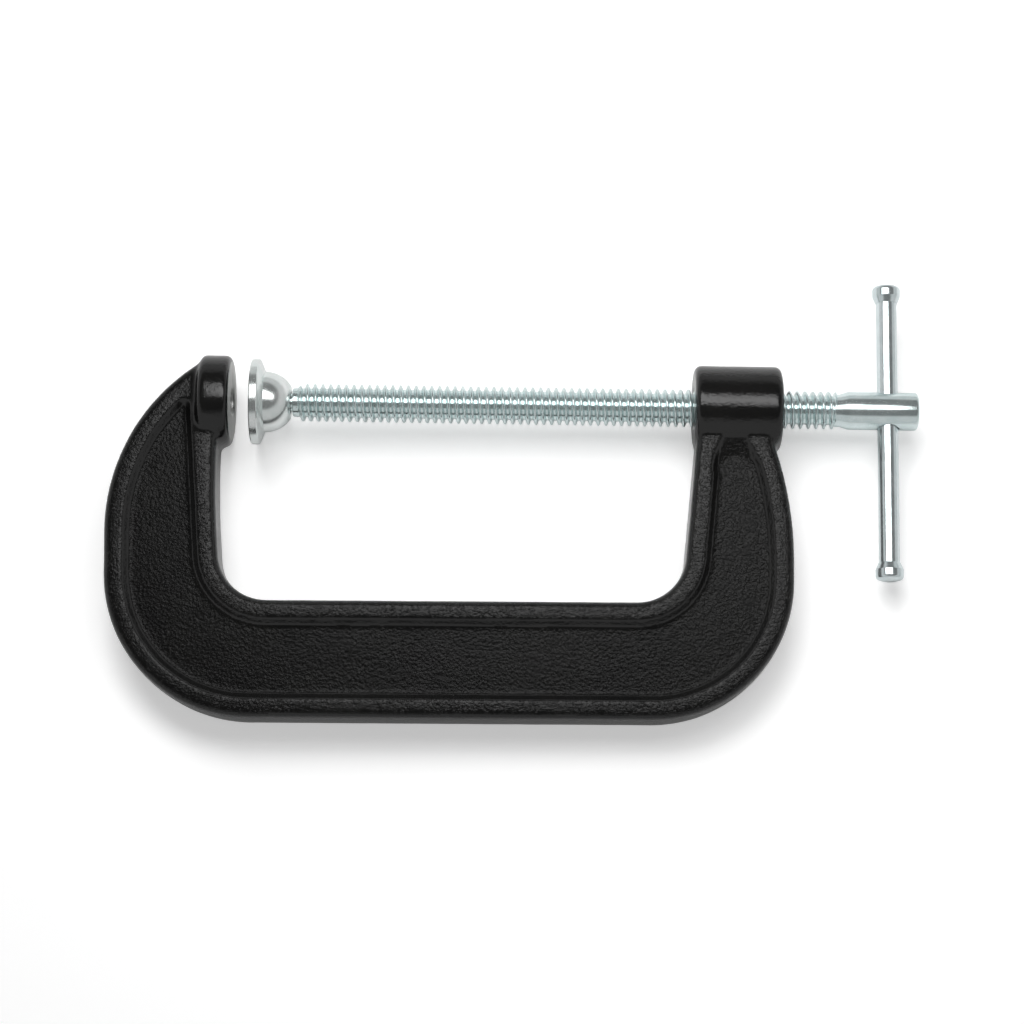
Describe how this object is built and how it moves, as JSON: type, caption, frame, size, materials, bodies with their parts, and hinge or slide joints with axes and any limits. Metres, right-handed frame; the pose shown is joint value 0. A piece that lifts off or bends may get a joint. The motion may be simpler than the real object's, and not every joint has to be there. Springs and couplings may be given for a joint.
{
  "type": "g-clamp",
  "caption": "Cast G-clamp: an I-section bow with an anvil, a screw spindle with a ball-jointed swivel pad, and a sliding tommy bar.",
  "frame": {"origin": "centre of the anvil's ground face, on the screw's axis", "axes": "+X along the screw from the anvil to the tommy bar, +Y from the rail to the screw, +Z out of the plane of the clamp, which lies on its side"},
  "size_m": [0.3105, 0.1738, 0.0354],
  "materials": {
    "enamel": "gloss black enamel on a rough casting",
    "zinc": "bright zinc plate"
  },
  "bodies": {
    "frame": {"clamp_frame": "enamel"},
    "ball": {"spindle_ball": "zinc"},
    "screw": {"spindle": "zinc"},
    "bar": {"tommy_bar": "zinc"},
    "pad": {"swivel_pad": "zinc"}
  },
  "joints": [
    {"name": "screw_advance", "type": "slide", "parent": "frame", "child": "ball", "axis": [-1, 0, 0], "range_m": [-0.15451, 0.00601]},
    {"name": "screw_turn", "type": "hinge", "parent": "ball", "child": "screw", "pos_m": [0.01683, 0, 0], "axis": [-1, 0, 0], "range_deg": [-18540, 720]},
    {"name": "bar_slide", "type": "slide", "parent": "screw", "child": "bar", "axis": [0, 1, 0], "range_m": [-0.0362, 0.0526]},
    {"name": "pad_tilt", "type": "hinge", "parent": "ball", "child": "pad", "pos_m": [0.01683, 0, 0], "axis": [0, 0, 1], "range_deg": [-5, 5]}
  ],
  "couplings": [
    {"joint": "screw_advance", "follows": "screw_turn", "m_per_rad": 0.00047746}
  ]
}
